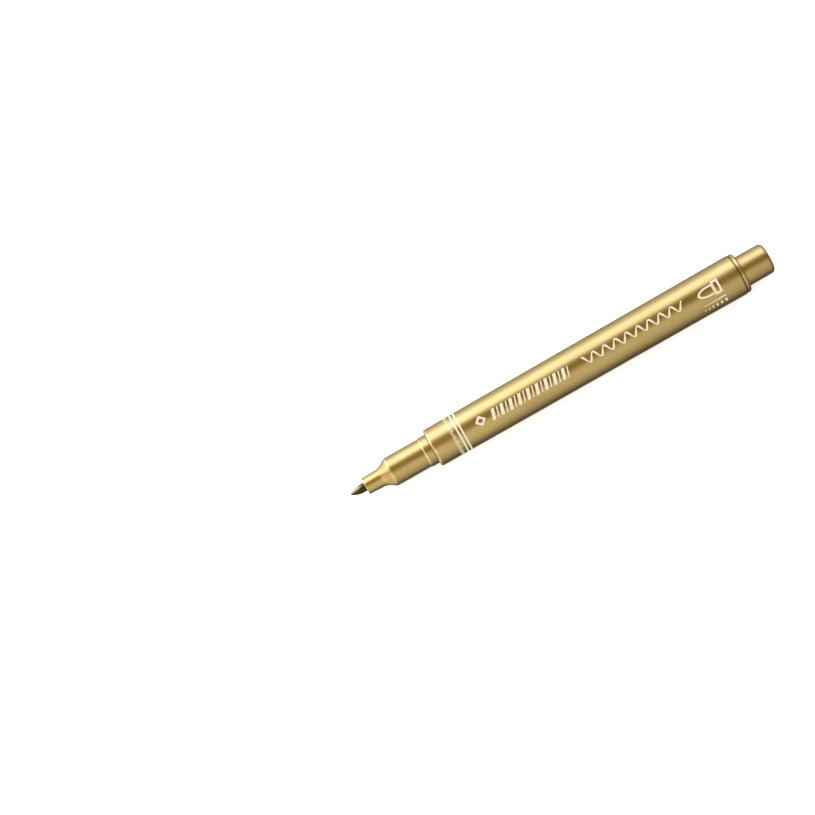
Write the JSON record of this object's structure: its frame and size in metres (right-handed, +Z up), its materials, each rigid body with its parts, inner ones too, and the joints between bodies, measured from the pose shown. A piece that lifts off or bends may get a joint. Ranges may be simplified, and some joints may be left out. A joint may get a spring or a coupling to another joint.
{
  "type": "valve-action marker pen",
  "caption": "Slim uncapped marker with a bullet nib, a flared nose on a cap seat, a long slightly tapered round barrel and a stepped rear post.",
  "frame": {"origin": "centre of the base of the bounding box: under the middle of the pen's length, on the surface it lies on", "axes": "+X along the pen's axis from nib to rear post, +Z up, +Y across the pen; the axis is 5.88 mm above the base"},
  "size_m": [0.1296, 0.0118, 0.0118],
  "materials": {
    "gold_plastic": "metallic gold injection-moulded plastic, satin gloss",
    "nib_fibre": "bonded acrylic fibre soaked with gold ink",
    "relay_fibre": "bonded polyester fibre",
    "white_plastic": "natural moulded plastic",
    "black_rubber": "moulded elastomer",
    "spring_steel": "drawn stainless wire",
    "ball_steel": "polished steel"
  },
  "bodies": {
    "barrel_assembly": {"barrel": "gold_plastic", "front_section": "gold_plastic", "ink_relay": "relay_fibre", "relay_washer": "white_plastic", "valve_body": "white_plastic", "valve_gasket": "black_rubber", "valve_spring": "spring_steel", "valve_cage": "white_plastic", "end_plug": "gold_plastic"},
    "nib_and_valve": {"nib": "nib_fibre", "valve_rod": "white_plastic", "valve_seal": "black_rubber"},
    "ball": {"mixing_ball": "ball_steel"}
  },
  "joints": [
    {"name": "nib_press", "type": "slide", "parent": "barrel_assembly", "child": "nib_and_valve", "axis": [1, 0, 0], "range_m": [0, 0.0015], "stiffness_N_per_m": 650, "springref_m": -0.0018, "deforming": ["valve_spring"]},
    {"name": "ball_roll", "type": "slide", "parent": "barrel_assembly", "child": "ball", "axis": [1, 0, 0], "range_m": [0, 0.0526]}
  ]
}
